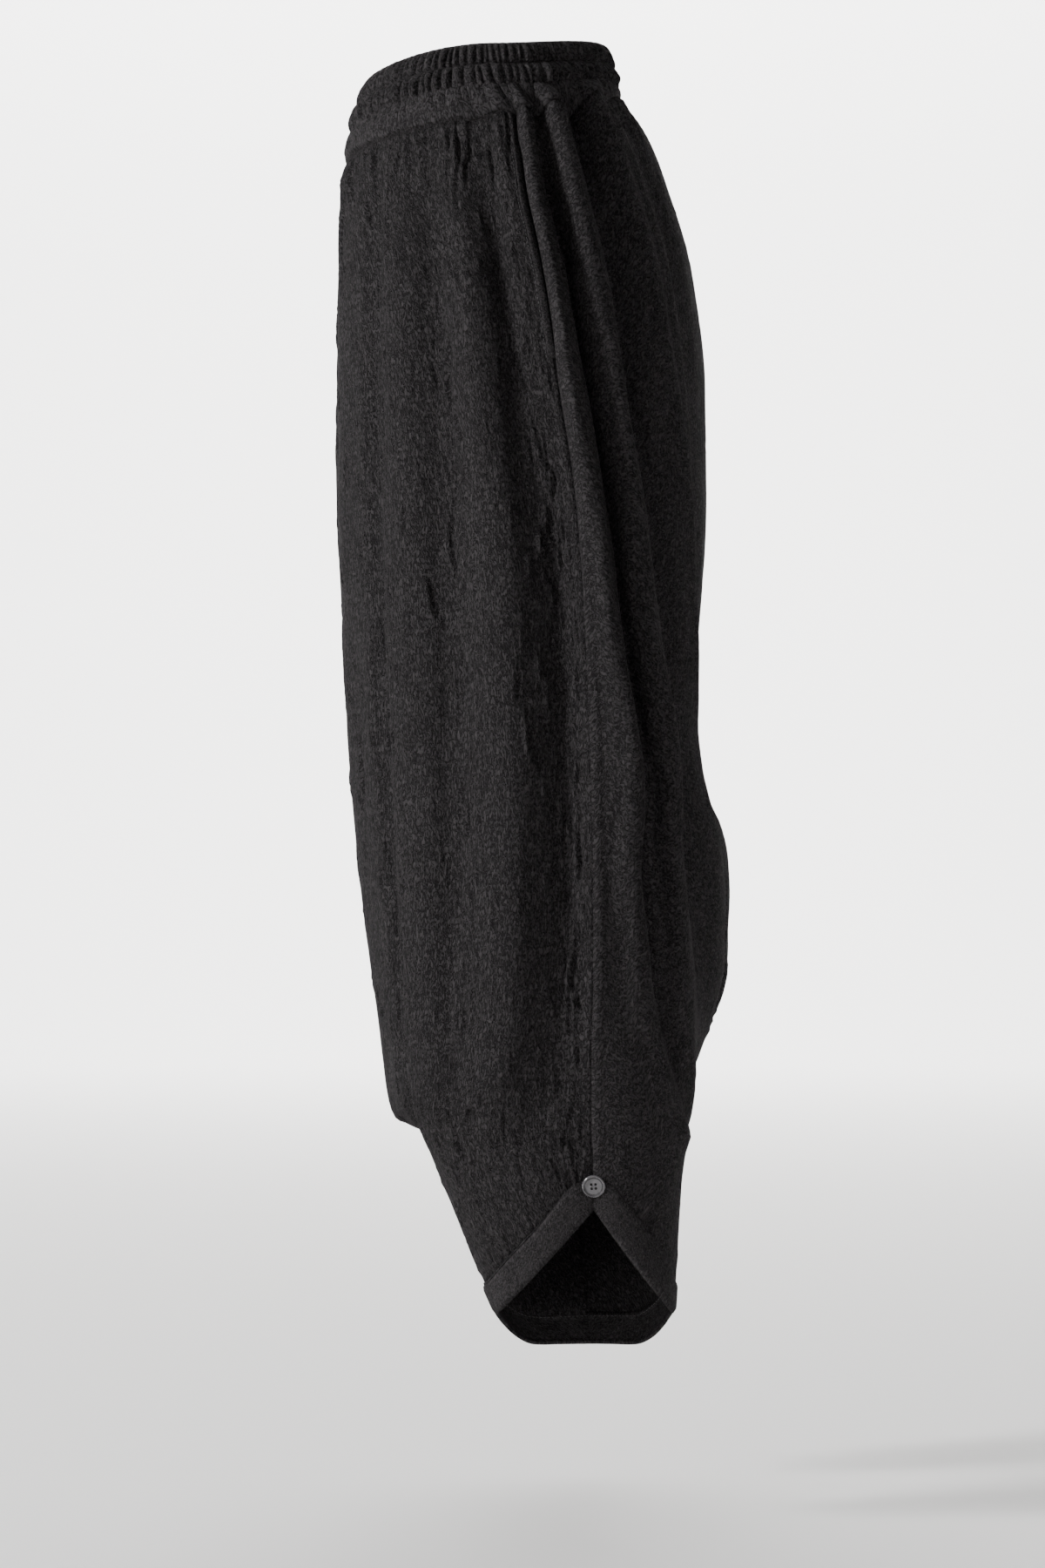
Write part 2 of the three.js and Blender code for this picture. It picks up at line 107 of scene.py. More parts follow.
# Wool crepe: over-twisted yarn that shrinks into small uneven puckers, with a short soft nap.
# The nap scatters light, so the black cloth looks matt, a little paler where it turns away.
# Sizes are in millimetres. A valley is half the noise range that reads as the dip between puckers,
# patches are where the broad creases gather, and the tone runs over its span from painted shade in
# the valleys to painted light on the raised cloth, with the lint's own speckle over both.
crepe = Values(
    shade="131213", worn="3b393a", nap="4a4748",
    roughness=0.95, sheen=0.02, sheenRoughness=0.45, specular=0.04,
    fibre=(1.3, 1.82), fibreRelief=0.25, valley=0.12, broadValley=0.09,
    patch=(26, 60), patchSpan=(0.42, 0.64), patchLeast=0.06,
    toneFine=0.40, toneBroad=0.05, toneFibre=0.6, toneSpan=(0.25, 1.30)
)


def crepeMaterial(name, fineGrain, broadGrain):
    material, tree = newMaterial(name)
    place = addNode(tree, "UVMap", {}, uv_map="cloth")["UV"]

    def scaled(across, down):
        scale = (1 / (across * mm), 1 / (down * mm), 1)
        return addNode(tree, "Mapping", {"Vector": place, "Scale": scale})[0]

    def noiseOn(where, detail, rough, bend=0.0):
        inputs = {"Vector": where, "Scale": 1.0, "Detail": detail, "Roughness": rough,
                  "Distortion": bend}
        return addNode(tree, "TexNoise", inputs, noise_dimensions="2D")[0]

    def maths(operation, a, b):
        return addNode(tree, "Math", {0: a, 1: b}, operation=operation)[0]

    def ranged(value, low, high, start=0.0, end=1.0):
        inputs = {"Value": value, "From Min": low, "From Max": high, "To Min": start, "To Max": end}
        return addNode(tree, "MapRange", inputs, interpolation_type="SMOOTHSTEP")[0]

    def puckers(grain, thin):
        # Ridged cloth between thin valleys, which run where the noise crosses its middle.
        wave = noiseOn(scaled(*grain[:2]), 2.0, 0.55, 0.4)
        crossing = maths("ABSOLUTE", maths("SUBTRACT", wave, 0.5), 0.0)
        return maths("ADD", ranged(crossing, 0.0, thin), wave)

    def bump(height, relief, under=None):
        inputs = {"Strength": 1.0, "Distance": relief * mm, "Height": height}
        if under:
            inputs["Normal"] = under
        return addNode(tree, "Bump", inputs)[0]

    fine = puckers(fineGrain, crepe.valley)
    patch = ranged(noiseOn(scaled(*crepe.patch), 1.0, 0.5), *crepe.patchSpan, crepe.patchLeast)
    broad = maths("MULTIPLY", puckers(broadGrain, crepe.broadValley), patch)
    fibre = noiseOn(scaled(*crepe.fibre), 3.0, 0.65)
    normal = bump(fibre, crepe.fibreRelief, bump(fine, fineGrain[2], bump(broad, broadGrain[2])))

    # Painted shade in the valleys between puckers and painted light on raised cloth; the fibre adds lint.
    fineTone = maths("MULTIPLY", fine, crepe.toneFine)
    raised = maths("ADD", fineTone, maths("MULTIPLY", broad, crepe.toneBroad))
    tone = ranged(maths("ADD", raised, maths("MULTIPLY", fibre, crepe.toneFibre)), *crepe.toneSpan)
    colour = mixed(tree, tone, crepe.shade, crepe.worn)
    finishMaterial(tree, {
        "Base Color": colour, "Roughness": crepe.roughness, "Normal": normal,
        "Specular IOR Level": crepe.specular, "Sheen Weight": crepe.sheen,
        "Sheen Roughness": crepe.sheenRoughness, "Sheen Tint": linearColour(crepe.nap),
    })
    return material


# The puckers' size across and down the cloth and their relief, in millimetres, and the same for the
# broader creases that group them.
grains = {
    "front": ("woolCrepeOnTheGrain", (2.2, 5.4, 0.8), (4.2, 17.0, 1.1)),
    "back": ("woolCrepeOnTheCross", (3.0, 3.4, 0.60), (8.0, 9.0, 0.5)),
    "band": ("woolCrepeGathered", (2.6, 4.4, 0.35), (6.0, 9.0, 0.3)),
    "hem": ("woolCrepePressed", (2.2, 2.2, 0.2), (6.0, 6.0, 0.1)),
}
cloths = {part: crepeMaterial(*grain) for part, grain in grains.items()}
print("crepe ready")


# Polyester sewing thread: tightly twisted and smooth, so it glints more than the cloth.
def threadMaterial():
    material, tree = newMaterial("polyesterThread")
    finishMaterial(tree, {"Base Color": linearColour("1b1a1c"), "Roughness": 0.5, "Sheen Weight": 0.2})
    return material


# Cast polyester button: dark grey resin, polished by tumbling, with faint cloudy streaks.
# cloud is the streaks' size and scratch the depth of the fine scratches, in millimetres.
buttonLook = Values(dark="373639", pale="636164", roughness=0.24, cloud=7.0, scratch=0.05,
                    scratchScale=12.0, coat=0.6, coatRoughness=0.1)


def resinMaterial():
    material, tree = newMaterial("castResin")
    place = addNode(tree, "TexCoord", {})["Object"]
    scale = (1 / (buttonLook.cloud * mm),) * 3
    where = addNode(tree, "Mapping", {"Vector": place, "Scale": scale})[0]
    clouds = {"Vector": where, "Scale": 1.0, "Detail": 4.0, "Distortion": 1.2}
    cloud = addNode(tree, "TexNoise", clouds)[0]
    colour = mixed(tree, cloud, buttonLook.dark, buttonLook.pale)
    scratches = {"Vector": where, "Scale": buttonLook.scratchScale, "Detail": 3.0}
    scratch = addNode(tree, "TexNoise", scratches)[0]
    relief = {"Strength": 0.25, "Distance": buttonLook.scratch * mm, "Height": scratch}
    bump = addNode(tree, "Bump", relief)[0]
    finishMaterial(tree, {
        "Base Color": colour, "Roughness": buttonLook.roughness, "Normal": bump,
        "Coat Weight": buttonLook.coat, "Coat Roughness": buttonLook.coatRoughness})
    return material


thread = threadMaterial()
resin = resinMaterial()


# The frame's cloth walls as grids of points

frameColumns = 21  # across each of the frame's panels and hems
rimWidth = {"front": 2.6 * mm, "back": 2.6 * mm, "hem": 3.6 * mm}  # a little over the wall's thickness


def outerFace(nodeName):
    # A merged copy of the node, less its rim and its inner face, which is the smaller one.
    wall = bmesh.new()
    wall.from_mesh(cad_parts[nodeName].data)
    bmesh.ops.remove_doubles(wall, verts=wall.verts, dist=0.01 * mm)
    thin = rimWidth[nodeName.split("_")[0]]
    rim = [face for face in wall.faces if min(edge.calc_length() for edge in face.edges) < thin]
    bmesh.ops.delete(wall, geom=rim, context="FACES")
    left = set(wall.faces)
    skins = []
    while left:
        skin = set()
        edgeOfSkin = [left.pop()]
        while edgeOfSkin:
            face = edgeOfSkin.pop()
            skin.add(face)
            for edge in face.edges:
                for beside in edge.link_faces:
                    if beside in left:
                        left.remove(beside)
                        edgeOfSkin.append(beside)
        skins.append(skin)
    outer = max(skins, key=lambda skin: sum(face.calc_area() for face in skin))
    bmesh.ops.delete(wall, geom=[face for face in wall.faces if face not in outer], context="FACES")
    return wall


def gridOf(nodeName, startRank):
    # The outer face's points row by row, from the corner that startRank puts first.
    wall = outerFace(nodeName)
    rim = [v for v in wall.verts if v.is_boundary]
    start = min(rim, key=startRank)

    def rimNeighbours(vertex):
        return [edge.other_vert(vertex) for edge in vertex.link_edges if edge.is_boundary]

    def levelness(vertex):
        step = vertex.co - start.co
        return math.hypot(step.x, step.y) - abs(step.z)

    row = [start, max(rimNeighbours(start), key=levelness)]
    while len(row) <= frameColumns:
        row.append(next(v for v in rimNeighbours(row[-1]) if v != row[-2]))
    seen = set(row)
    rows = [row]
    while True:
        below = {edge.other_vert(v) for v in row for edge in v.link_edges} - seen
        if not below:
            break
        vertex = next(v for v in rimNeighbours(row[0]) if v in below)
        row = [vertex]
        below.remove(vertex)
        while below:
            vertex = next(edge.other_vert(vertex) for edge in vertex.link_edges
                          if edge.other_vert(vertex) in below)
            row.append(vertex)
            below.remove(vertex)
        seen.update(row)
        rows.append(row)
    points = np.array([[v.co[:] for v in row] for row in rows])
    wall.free()
    return points


def along(grid, places):
    # A smooth curve through the grid's rows, at fractional row numbers.
    last = len(grid) - 1
    k = np.clip(np.floor(places).astype(int), 0, last - 1)
    t = (places - k)[:, None, None]
    here, ahead = grid[k], grid[k + 1]
    before = np.where((k > 0)[:, None, None], grid[np.maximum(k - 1, 0)], 2 * here - ahead)
    after = np.where((k < last - 1)[:, None, None], grid[np.minimum(k + 2, last)], 2 * ahead - here)
    return 0.5 * (2 * here + (ahead - before) * t + (2 * before - 5 * here + 4 * ahead - after) * t ** 2
                  + (3 * here - before - 3 * ahead + after) * t ** 3)


def evenPlaces(grid, shares):
    # Fractional row numbers that lie at these shares of the rows' mean length.
    steps = np.linalg.norm(np.diff(grid, axis=0), axis=2).mean(axis=1)
    length = np.concatenate([[0], np.cumsum(steps)])
    return np.interp(np.asarray(shares) * length[-1], length, np.arange(len(grid)))


def closerAtEnds(count, pull):
    # Shares from 0 to 1, closer together at the two ends.
    t = np.linspace(0, 1, count)
    return t - pull * np.sin(2 * math.pi * t) / (2 * math.pi)


def refined(grid, downShares, acrossShares):
    tall = along(grid, evenPlaces(grid, downShares))
    turned = tall.transpose(1, 0, 2)
    return along(turned, evenPlaces(turned, acrossShares)).transpose(1, 0, 2)


def normalsOf(points):
    across = np.gradient(points, axis=1)
    down = np.gradient(points, axis=0)
    normals = np.cross(across, down)
    return normals / np.maximum(np.linalg.norm(normals, axis=2, keepdims=True), 1e-12)


def clothPlaces(points):
    # Each point's place on the flat cloth in metres, across from the middle and down from the top.
    stepAcross = np.linalg.norm(np.diff(points, axis=1), axis=2)
    stepDown = np.linalg.norm(np.diff(points, axis=0), axis=2)
    across = np.pad(np.cumsum(stepAcross, axis=1), ((0, 0), (1, 0)))
    across -= across[:, -1:]
    down = np.pad(np.cumsum(stepDown, axis=0), ((1, 0), (0, 0)))
    return np.stack([across, -down], axis=2)


def meshPiece(name, mesh, material, smooth=True):
    # The object made of a finished bmesh.
    data = bpy.data.meshes.new(name)
    mesh.to_mesh(data)
    mesh.free()
    data.polygons.foreach_set("use_smooth", np.full(len(data.polygons), smooth))
    data.materials.append(material)
    return placed(name, data)


def gridPiece(name, points, places, material, outward, thickness=0.0):
    # A smooth sheet on a grid of points. outward is a point outside the cloth near its middle.
    rows, columns = points.shape[:2]
    sheet = bmesh.new()
    bmesh.ops.create_grid(sheet, x_segments=columns - 1, y_segments=rows - 1, size=1)
    data = bpy.data.meshes.new(name)
    sheet.to_mesh(data)
    sheet.free()
    flat = np.zeros(len(data.vertices) * 3)
    data.vertices.foreach_get("co", flat)
    flat = flat.reshape(-1, 3)
    column = np.rint((flat[:, 0] + 1) / 2 * (columns - 1)).astype(int)
    row = np.rint((flat[:, 1] + 1) / 2 * (rows - 1)).astype(int)
    data.vertices.foreach_set("co", points[row, column].astype(np.float32).ravel())
    corners = np.zeros(len(data.loops), dtype=np.int32)
    data.loops.foreach_get("vertex_index", corners)
    uvs = places[row, column][corners]
    data.uv_layers.new(name="cloth").data.foreach_set("uv", uvs.astype(np.float32).ravel())
    data.polygons.foreach_set("use_smooth", np.ones(len(data.polygons), dtype=bool))
    data.update()
    middle = data.polygons[len(data.polygons) // 2 + columns // 2]
    if middle.normal.dot(Vector(outward) - middle.center) < 0:
        data.flip_normals()
    piece = placed(name, data)
    data.materials.append(material)
    if thickness:
        wall = piece.modifiers.new("wall", "SOLIDIFY")
        wall.thickness = thickness
        wall.offset = -1
        wall.use_rim = True
    return piece


def bell(x, width=1.0):
    # 1 where x is 0, falling away on both sides.
    return np.exp(-(x / width) ** 2)


def smoothstep(x, low, high):
    t = np.clip((x - low) / (high - low), 0, 1)
    return t * t * (3 - 2 * t)


def unevenness(places, sizeAcross, sizeDown, seed):
    # Slow noise over the cloth, from -1 to 1, with its size across and down in millimetres.
    rows, columns = places.shape[:2]
    coarse = places / mm / np.array([sizeAcross, sizeDown]) + seed * 7.31
    values = [noise.noise(Vector((u, v, seed))) for u, v in coarse.reshape(-1, 2)]
    return np.array(values).reshape(rows, columns)


# Creases that show one by one. Each is where it starts and where it ends, as a place s across the
# panel, 0 at the centre seam and 1 at the side seam, and a height z, and then its depth, its width
# and how far it wanders sideways. All but s are in millimetres.
creases = {
    "front_left": [
        (0.688, -212, 0.683, -272, 1.7, 2.6, 2), (0.639, -226, 0.648, -262, 1.0, 2.4, -1),
        (0.683, -306, 0.665, -416, 1.5, 2.6, 3), (0.861, -226, 0.822, -266, 1.2, 2.4, -2),
        (0.977, -238, 0.980, -262, 1.2, 2.2, 1), (0.932, -305, 0.951, -340, 1.8, 2.6, -2),
        (0.915, -345, 0.916, -392, 2.2, 2.8, 4), (0.914, -388, 0.926, -440, 2.0, 2.8, -3),
        (0.872, -380, 0.884, -410, 1.3, 2.4, 1), (0.597, -395, 0.648, -442, 1.6, 2.6, 2),
        (0.701, -402, 0.692, -428, 1.2, 2.4, 1), (0.893, -462, 0.919, -512, 1.9, 2.8, -3),
        (0.846, -496, 0.877, -552, 1.6, 2.6, 2), (0.930, -562, 0.938, -596, 1.5, 2.6, 2),
        (0.965, -592, 0.965, -634, 1.6, 2.4, -1), (0.903, -615, 0.904, -650, 1.3, 2.4, 2),
        (0.950, -668, 0.958, -732, 1.8, 2.6, 3), (0.771, -66, 0.764, -128, 1.2, 2.8, 1),
        (0.889, -64, 0.893, -104, 1.6, 2.6, -1), (0.812, -60, 0.790, -96, 1.3, 2.6, 1),
        (0.560, -62, 0.520, -150, 1.3, 3.2, 2), (0.250, -86, 0.255, -170, 1.2, 3.0, 2),
        (0.100, -90, 0.130, -150, 1.0, 3.0, -2), (0.160, -420, 0.170, -505, 1.5, 2.8, 3),
        (0.330, -520, 0.315, -590, 1.4, 2.8, -3), (0.080, -640, 0.110, -700, 1.6, 2.8, 2),
    ],
    "back_left": [
        (0.960, -120, 0.930, -185, 1.0, 3.0, 2), (0.900, -560, 0.870, -610, 0.9, 3.4, 3),
        (0.640, -240, 0.610, -330, 1.4, 3.4, 4), (0.420, -180, 0.400, -290, 1.3, 3.6, -4),
        (0.260, -380, 0.230, -470, 1.4, 3.4, 3), (0.520, -500, 0.470, -580, 1.2, 3.2, -2),
        (0.120, -620, 0.220, -700, 2.2, 5.0, 4), (0.080, -690, 0.240, -760, 2.6, 6.0, 5),
    ],
    "front_right": [
        (0.700, -190, 0.690, -262, 1.5, 2.6, -2), (0.655, -335, 0.672, -430, 1.7, 2.8, 3),
        (0.930, -286, 0.942, -352, 2.0, 2.8, 3), (0.905, -372, 0.922, -432, 1.9, 2.6, -3),
        (0.850, -470, 0.880, -530, 1.6, 2.6, 2), (0.955, -590, 0.962, -655, 1.7, 2.6, -2),
        (0.780, -64, 0.760, -120, 1.4, 2.8, 1), (0.885, -66, 0.895, -110, 1.4, 2.6, -1),
        (0.420, -300, 0.400, -380, 1.4, 2.8, 2), (0.220, -470, 0.200, -560, 1.5, 2.8, 3),
        (0.140, -92, 0.170, -170, 1.2, 3.0, -2), (0.620, -640, 0.640, -700, 1.5, 2.8, 2),
    ],
    "back_right": [
        (0.945, -150, 0.920, -220, 1.1, 3.0, 2), (0.660, -210, 0.640, -310, 1.4, 3.4, -4),
        (0.380, -230, 0.360, -340, 1.3, 3.6, 4), (0.200, -300, 0.220, -400, 1.2, 3.4, -3),
        (0.560, -540, 0.500, -610, 1.3, 3.2, 3), (0.140, -640, 0.250, -720, 2.2, 5.0, -4),
    ],
}

# Small creases between them: how many, their range of sizes, how much they lean in radians, the places
# across the panel where they crowd together, and the share of them that lie elsewhere.
smallCreases = {
    "front": Values(count=1700, length=(9, 38), depth=(0.5, 1.4), width=(1.1, 1.8), bend=(-1.2, 1.2),
                    lean=0.12, troughs=(0.45, 0.69, 0.94), spread=0.05, elsewhere=0.13),
    "back": Values(count=260, length=(8, 26), depth=(0.25, 0.8), width=(1.5, 2.4), bend=(-1.2, 1.2),
                   lean=0.7, troughs=(0.30, 0.55, 0.75), spread=0.10, elsewhere=0.3),
}
# What the depths and widths of the creases that show one by one are multiplied by.
creaseDepth, creaseWidth = 1.5, 0.75

# Short gathers that hang from the yoke's seam: how many to a panel, and their range of sizes.
topGathers = Values(count=30, length=(16, 70), depth=(0.6, 1.9), width=(1.8, 3.6), below=6,
                    lean=0.06, bend=(-1, 1))

# The crisp rear edges of the back's large rolls, as places s and heights z down their length.
# The crest stands on the side seam's side of the edge and the hollow falls away behind it. Each has
# its height or depth and its width in millimetres.
rolls = {
    "back_left": [
        {"path": [(0.925, -58), (0.915, -150), (0.905, -250), (0.880, -330), (0.845, -400), (0.812, -470),
                  (0.770, -540), (0.710, -611), (0.672, -681), (0.655, -745)],
         "crest": (2.6, 8.0), "hollow": (6.5, 6.5)},
        {"path": [(0.700, -52), (0.750, -158), (0.745, -295), (0.708, -372), (0.674, -439), (0.632, -518),
                  (0.566, -593), (0.507, -683), (0.472, -749)],
         "crest": (2.2, 7.0), "hollow": (5.0, 7.0)},
        {"path": [(0.560, -48), (0.540, -140), (0.500, -260), (0.440, -380), (0.370, -500), (0.290, -600)],
         "crest": (1.8, 8.0), "hollow": (3.5, 8.0)},
    ],
    "back_right": [
        {"path": [(0.920, -62), (0.915, -170), (0.898, -270), (0.868, -350), (0.832, -430), (0.800, -500),
                  (0.745, -570), (0.700, -640), (0.664, -710)],
         "crest": (2.4, 8.0), "hollow": (6.0, 7.0)},
        {"path": [(0.710, -56), (0.742, -180), (0.730, -310), (0.690, -400), (0.650, -480), (0.590, -560),
                  (0.520, -640), (0.480, -730)],
         "crest": (2.2, 7.0), "hollow": (4.6, 7.5)},
        {"path": [(0.570, -50), (0.545, -160), (0.490, -290), (0.420, -410), (0.350, -520)],
         "crest": (1.8, 8.0), "hollow": (3.2, 8.0)},
    ],
}

# How a crease runs: its waves along its length, how its ends fade, and where its ridge and the drop
# beside it lie, as shares of its width.
creaseShape = Values(waves=1.3, fade=0.7, ridgeAt=-0.9, drop=0.9, dropAt=0.7, dropWidth=0.8)
creaseReach = 8  # millimetres beyond a small crease's length where its lift is still worked out

# Where a roll fades in and out down its length, and its crest and hollow as shares of their widths.
rollShape = Values(steps=16, begins=0.06, fades=0.80, crestAt=0.7, hollowAt=-0.6)

# The pocket mouth, in millimetres, with its ends as heights z and how far it fades beyond them.
pocket = Values(top=-64, bottom=-238, lip=1.7, width=5.6, gap=4.5, gapWidth=3.4,
                under=6.5, topFade=(-16, 4), bottomFade=(-14, 30))

# The cloth at its seams in millimetres: how far it runs past them, the groove that the thread pulls
# in, the soft shoulder beside it, and where the creases begin to fade.
seamSizes = Values(past=0.5, groove=1.5, grooveWidth=1.3, shoulder=0.55, shoulderAt=4.2,
                   shoulderWidth=2.4, top=1.0, topWidth=1.6, sideFade=9, topFade=6)
panelMesh = {
    "front": {"columns": 290, "rows": 165},
    "back": {"columns": 160, "rows": 150},
}
clothWall = 1.6 * mm
seamReach = 1.5 * mm  # how far from the middle plane a panel's centre seam lies at most
outside = 0.3  # metres from the cloth to a point that is surely outside it
crowding = 0.35  # how much closer a panel's columns lie at its two seams
# The cloth's slow waves and the finer ones on them: size across, size down and height in millimetres.
undulations = ((30, 90, 1.2), (6, 22, 0.35))


def creaseLift(places, startPlace, endPlace, depth, width, bend):
    # A small ridge that drops sharply towards the side seam, fading at both ends, in millimetres.
    run = endPlace - startPlace
    length = np.linalg.norm(run)
    forward = run / length
    sideways = np.array([-forward[1], forward[0]])
    offset = places - startPlace
    t = (offset @ forward) / length
    drift = bend * mm * np.sin(2 * math.pi * t * creaseShape.waves)
    away = (offset @ sideways - drift) / (width * mm)
    fade = np.where((t > 0) & (t < 1), np.sin(math.pi * np.clip(t, 0, 1)) ** creaseShape.fade, 0)
    drop = creaseShape.drop * bell(away - creaseShape.dropAt, creaseShape.dropWidth)
    return depth * fade * (bell(away - creaseShape.ridgeAt) - drop)


def placeAt(points, places, s, z):
    # The flat place of the cloth at this share across the panel and this height.
    column = int(round(s * (points.shape[1] - 1)))
    row = int(np.argmin(np.abs(points[:, column, 2] - z * mm)))
    return places[row, column]


def rollLift(points, places, shares, roll):
    # A roll's edge through its places: a crest on one side of it and a hollow on the other.
    marks = []
    for s, z in roll["path"]:
        column = np.searchsorted(shares, s) / (len(shares) - 1)
        marks.append(placeAt(points, places, column, z))
    marks = np.array(marks)
    steps = np.linspace(0, len(marks) - 1, rollShape.steps * len(marks))
    line = along(marks[:, None, :], steps)[:, 0]
    heading = np.gradient(line, axis=0)
    heading /= np.linalg.norm(heading, axis=1, keepdims=True)
    offset = places[:, :, None, :] - line
    nearest = (offset ** 2).sum(axis=3).argmin(axis=2)
    offset = np.take_along_axis(offset, nearest[:, :, None, None], axis=2)[:, :, 0]
    ahead = heading[nearest]
    away = (ahead[:, :, 1] * offset[:, :, 0] - ahead[:, :, 0] * offset[:, :, 1]) / mm
    if places[0, 0, 0] < places[0, -1, 0]:
        away = -away
    run = nearest / (len(line) - 1)
    fade = smoothstep(run, 0, rollShape.begins) * (1 - smoothstep(run, rollShape.fades, 1.0))
    height, width = roll["crest"]
    crest = height * bell(away / width - rollShape.crestAt)
    depth, width = roll["hollow"]
    return fade * (crest - depth * bell(away / width - rollShape.hollowAt))


def panelLift(nodeName, points, places, shares):
    # How far the finished cloth stands off the frame's smooth panel, in millimetres.
    part = nodeName.split("_")[0]
    seed = sorted(creases).index(nodeName) + 1
    lift = 0
    for (across, down, height), wavesSeed in zip(undulations, (seed, seed + 9)):
        lift = lift + height * unevenness(places, across, down, wavesSeed)
    for sStart, zStart, sEnd, zEnd, depth, width, bend in creases[nodeName]:
        columns = np.searchsorted(shares, [sStart, sEnd]) / (len(shares) - 1)
        start = placeAt(points, places, columns[0], zStart)
        end = placeAt(points, places, columns[1], zEnd)
        lift += creaseLift(places, start, end, creaseDepth * depth, creaseWidth * width, bend)
    for roll in rolls.get(nodeName, []):
        lift += rollLift(points, places, shares, roll)
    small = smallCreases[part]
    chance = random.Random(seed)
    for k in range(topGathers.count):
        column = int((k + chance.uniform(0.1, 0.9)) / topGathers.count * (points.shape[1] - 1))
        start = places[0, column] + np.array([0, topGathers.below * mm])
        heading = np.array([chance.gauss(0, topGathers.lean), -1])
        end = start + heading * chance.uniform(*topGathers.length) * mm
        lift += creaseLift(places, start, end, chance.uniform(*topGathers.depth),
                           chance.uniform(*topGathers.width), chance.uniform(*topGathers.bend))
    for _ in range(small.count):
        row = chance.randrange(points.shape[0])
        column = chance.randrange(points.shape[1])
        toTrough = min(abs(shares[column] - trough) for trough in small.troughs)
        if chance.random() > small.elsewhere + bell(toTrough, small.spread):
            continue
        length = chance.uniform(*small.length) * mm
        lean = chance.gauss(0, small.lean)
        start = places[row, column]
        end = start + length * np.array([math.sin(lean), -math.cos(lean)])
        near = np.abs(places - start).max(axis=2) < length + creaseReach * mm
        lift[near] += creaseLift(places[near], start, end, chance.uniform(*small.depth),
                                 chance.uniform(*small.width), chance.uniform(*small.bend))
    return lift


def seamLift(distance):
    # The cloth's edge turns in at a seam, over a soft shoulder.
    shoulder = seamSizes.shoulder * bell(distance - seamSizes.shoulderAt, seamSizes.shoulderWidth)
    return shoulder - seamSizes.groove * bell(distance, seamSizes.grooveWidth)


def pocketShare(points):
    # 1 beside the pocket mouth, fading to 0 at its two ends.
    z = points[:, :, 2] / mm
    above = smoothstep(z - pocket.bottom, *pocket.bottomFade)
    return above * (1 - smoothstep(z - pocket.top, *pocket.topFade))


def overSeams(points, past):
    # Each edge runs a little past its seam line, so that no light comes through between two pieces.
    grown = points.copy()
    every = slice(None)
    for edge, inner in (((every, 0), (every, 1)), ((every, -1), (every, -2)),
                        ((0, every), (1, every)), ((-1, every), (-2, every))):
        out = points[edge] - points[inner]
        grown[edge] += out / np.linalg.norm(out, axis=1, keepdims=True) * past * mm
    return grown


def facingOut(points, side, row):
    # The grid's normals turned outwards, and the place in its outer part where that is judged.
    normals = normalsOf(points)
    probe = (row, points.shape[1] * 3 // 4)
    if (normals[probe][0] < 0) == (side == "left"):
        normals = -normals
    return normals, probe


def makePanel(nodeName):
    part, side = nodeName.split("_")

    def topOfCentre(vertex):
        return abs(vertex.co.x) > seamReach, -vertex.co.z

    grid = gridOf(nodeName, topOfCentre)
    mesh = panelMesh[part]
    shares = closerAtEnds(mesh["columns"], crowding)
    points = refined(grid, np.linspace(0, 1, mesh["rows"]), shares)
    normals, probe = facingOut(points, side, mesh["rows"] // 3)
    places = clothPlaces(points)
    lift = panelLift(nodeName, points, places, shares)
    fromSide = -places[:, :, 0] / mm
    fromCentre = (places[:, :, 0] - places[:, :1, 0]) / mm
    fromTop = -places[:, :, 1] / mm
    lift = lift * smoothstep(np.minimum(fromSide, fromCentre), 0, seamSizes.sideFade)
    lift = lift * smoothstep(fromTop, 0, seamSizes.topFade)
    lift += seamLift(fromSide) + seamLift(fromCentre)
    lift -= seamSizes.top * bell(fromTop, seamSizes.topWidth)
    if part == "back":
        lift -= pocket.gap * pocketShare(points) * bell(fromSide, pocket.gapWidth)
    finished = overSeams(points + normals * (lift * mm)[:, :, None], seamSizes.past)
    outward = finished[probe] + normals[probe] * outside
    if part == "back":
        beyond = finished[:, -1] - finished[:, -2]
        beyond /= np.linalg.norm(beyond, axis=1, keepdims=True)
        finished[:, -1] += beyond * (pocket.under * pocketShare(points)[:, -1] * mm)[:, None]
    piece = gridPiece(f"{nodeName}_cloth", finished, places, cloths[part], outward, clothWall)
    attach(piece, "root")
    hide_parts(nodeName)
    return {"piece": piece, "points": finished, "normals": normals, "places": places, "top": grid[0]}


panels = {nodeName: makePanel(nodeName) for nodeName in creases}
print("panels ready")


# Waistband and yoke

# The waistband's stitched lines in millimetres, each four quarter curves, as in the frame. front and
# back hold y and z at the centre seam and the y that the curve passes halfway, side holds x, y and z.
waistLines = {
    "top": {"front": (-96, 4, -62), "side": (143, 10, 17), "back": (103, 31, 72)},
    "middle": {"front": (-103, -16, -68), "side": (150, 12, 0), "back": (105, 15, 76)},
    "bottom": {"front": (-106, -39, -70), "side": (155, 16, -18), "back": (106, 0, 79)},
}
roundness = 0.62  # share of the half width where a quarter's first inner corner lies
innerWeight = 0.375  # what each inner corner of a quarter weighs at the quarter's middle
waistColumns = 1480


def quarterCurve(line, part, s):
    # Points in metres from the centre seam, s = 0, to the side seam, s = 1.
    centreY, centreZ, halfwayY = line[part]
    sideX, sideY, sideZ = line["side"]
    reach = (halfwayY - (centreY + sideY) / 2) / innerWeight
    corners = np.array([[0, centreY], [roundness * sideX, centreY],
                        [sideX, sideY + reach], [sideX, sideY]])
    weights = np.stack([(1 - s) ** 3, 3 * s * (1 - s) ** 2, 3 * s ** 2 * (1 - s), s ** 3], axis=1)
    z = centreZ + (sideZ - centreZ) * smoothstep(s, 0, 1)
    return np.column_stack([weights @ corners, z]) * mm


